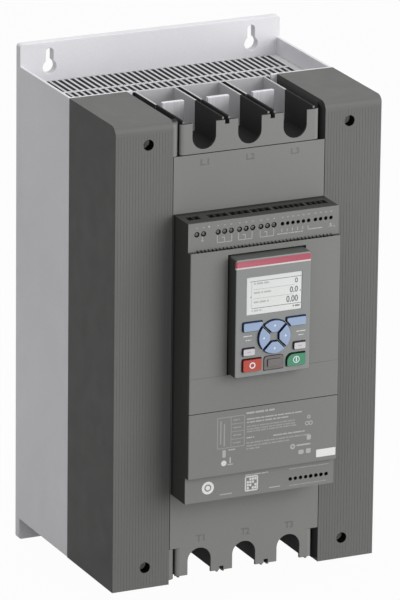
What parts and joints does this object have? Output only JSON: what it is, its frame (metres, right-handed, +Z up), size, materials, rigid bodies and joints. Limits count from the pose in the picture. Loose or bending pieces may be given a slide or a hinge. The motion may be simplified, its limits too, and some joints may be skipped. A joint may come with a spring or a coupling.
{
  "type": "soft starter",
  "caption": "Wall-hung motor soft starter with ribbed side covers, slotted cooling grilles, U-shaped cable openings over its power bars and a control module with a pull-out keypad.",
  "frame": {"origin": "middle of the flat back, where the chassis meets the wall", "axes": "+Z up along the height, +Y into the wall, +X to the right as seen from the front"},
  "size_m": [0.258, 0.2689, 0.471],
  "materials": {
    "chassis_plastic": "light grey moulded plastic, fine grain",
    "sink_aluminium": "extruded, satin",
    "inner_plastic": "black moulded plastic",
    "tinned_copper": "tinned copper bar, satin",
    "cover_plastic": "dark grey moulded plastic, fine grain",
    "middle_plastic": "mid grey moulded plastic, fine grain",
    "module_plastic": "mid grey moulded plastic, fine grain",
    "base_plastic": "dark moulded plastic",
    "terminal_plastic": "dark moulded plastic",
    "screw_steel": "zinc plated",
    "circuit_board": "green lacquered board",
    "keypad_plastic": "grey face over dark sides",
    "display_cell": "pale display cell",
    "display_glass": "clear, polished",
    "blue_key": "pale blue satin",
    "grey_key": "pale grey satin",
    "red_key": "red satin",
    "green_key": "green satin",
    "port_rubber": "dark rubber"
  },
  "bodies": {
    "starter": {"chassis": "chassis_plastic", "top_grille": "chassis_plastic", "bottom_grille": "chassis_plastic", "upper_terminal_base": "chassis_plastic", "lower_terminal_base": "chassis_plastic", "heat_sink": "sink_aluminium", "thyristor_1": "inner_plastic", "thyristor_2": "inner_plastic", "thyristor_3": "inner_plastic", "current_sensor_1": "inner_plastic", "current_sensor_2": "inner_plastic", "current_sensor_3": "inner_plastic", "bypass_contactor": "inner_plastic", "fan_frame_1": "inner_plastic", "fan_frame_2": "inner_plastic", "line_bar_1": "tinned_copper", "line_bar_2": "tinned_copper", "line_bar_3": "tinned_copper", "load_bar_1": "tinned_copper", "load_bar_2": "tinned_copper", "load_bar_3": "tinned_copper", "left_cover": "cover_plastic", "right_cover": "cover_plastic", "middle_cover": "middle_plastic", "upper_hood": "middle_plastic", "lower_hood": "middle_plastic", "front_cover": "module_plastic", "option_cover": "module_plastic", "control_base": "base_plastic", "supply_terminals": "terminal_plastic", "relay_terminals_1": "terminal_plastic", "relay_terminals_2": "terminal_plastic", "relay_terminals_3": "terminal_plastic", "input_terminals": "terminal_plastic", "sensor_terminals": "terminal_plastic", "bus_terminals": "terminal_plastic", "cover_screws": "screw_steel", "terminal_screws": "screw_steel", "power_board": "circuit_board", "control_board": "circuit_board"},
    "fan_1": {"fan_rotor_1": "inner_plastic"},
    "fan_2": {"fan_rotor_2": "inner_plastic"},
    "keypad": {"keypad_case": "keypad_plastic", "keypad_back": "keypad_plastic", "keypad_board": "circuit_board", "display_panel": "display_cell", "display_window": "display_glass"},
    "soft_key_left": {"soft_key_left": "blue_key"},
    "soft_key_right": {"soft_key_right": "blue_key"},
    "arrow_key_up": {"arrow_key_up": "blue_key"},
    "arrow_key_right": {"arrow_key_right": "blue_key"},
    "arrow_key_down": {"arrow_key_down": "blue_key"},
    "arrow_key_left": {"arrow_key_left": "blue_key"},
    "help_key": {"help_key": "grey_key"},
    "local_key": {"local_key": "grey_key"},
    "stop_key": {"stop_key": "red_key"},
    "start_key": {"start_key": "green_key"},
    "port_cover": {"port_cover": "port_rubber"}
  },
  "joints": [
    {"name": "fan_1_spin", "type": "hinge", "parent": "starter", "child": "fan_1", "pos_m": [-0.05, -0.0575, -0.1838], "axis": [0, 0, 1], "continuous": true},
    {"name": "fan_2_spin", "type": "hinge", "parent": "starter", "child": "fan_2", "pos_m": [0.05, -0.0575, -0.1838], "axis": [0, 0, 1], "continuous": true},
    {"name": "keypad_pull", "type": "slide", "parent": "starter", "child": "keypad", "axis": [0, -1, 0], "range_m": [0, 0.013]},
    {"name": "soft_key_left_press", "type": "slide", "parent": "keypad", "child": "soft_key_left", "axis": [0, 1, 0], "range_m": [0, 0.001], "stiffness_N_per_m": 800},
    {"name": "soft_key_right_press", "type": "slide", "parent": "keypad", "child": "soft_key_right", "axis": [0, 1, 0], "range_m": [0, 0.001], "stiffness_N_per_m": 800},
    {"name": "arrow_key_up_press", "type": "slide", "parent": "keypad", "child": "arrow_key_up", "axis": [0, 1, 0], "range_m": [0, 0.001], "stiffness_N_per_m": 800},
    {"name": "arrow_key_right_press", "type": "slide", "parent": "keypad", "child": "arrow_key_right", "axis": [0, 1, 0], "range_m": [0, 0.001], "stiffness_N_per_m": 800},
    {"name": "arrow_key_down_press", "type": "slide", "parent": "keypad", "child": "arrow_key_down", "axis": [0, 1, 0], "range_m": [0, 0.001], "stiffness_N_per_m": 800},
    {"name": "arrow_key_left_press", "type": "slide", "parent": "keypad", "child": "arrow_key_left", "axis": [0, 1, 0], "range_m": [0, 0.001], "stiffness_N_per_m": 800},
    {"name": "help_key_press", "type": "slide", "parent": "keypad", "child": "help_key", "axis": [0, 1, 0], "range_m": [0, 0.001], "stiffness_N_per_m": 800},
    {"name": "local_key_press", "type": "slide", "parent": "keypad", "child": "local_key", "axis": [0, 1, 0], "range_m": [0, 0.001], "stiffness_N_per_m": 800},
    {"name": "stop_key_press", "type": "slide", "parent": "keypad", "child": "stop_key", "axis": [0, 1, 0], "range_m": [0, 0.001], "stiffness_N_per_m": 800},
    {"name": "start_key_press", "type": "slide", "parent": "keypad", "child": "start_key", "axis": [0, 1, 0], "range_m": [0, 0.001], "stiffness_N_per_m": 800},
    {"name": "port_cover_swing", "type": "hinge", "parent": "keypad", "child": "port_cover", "pos_m": [0.0012, -0.26615, -0.0061], "axis": [1, 0, 0], "range_deg": [0, 90]}
  ]
}
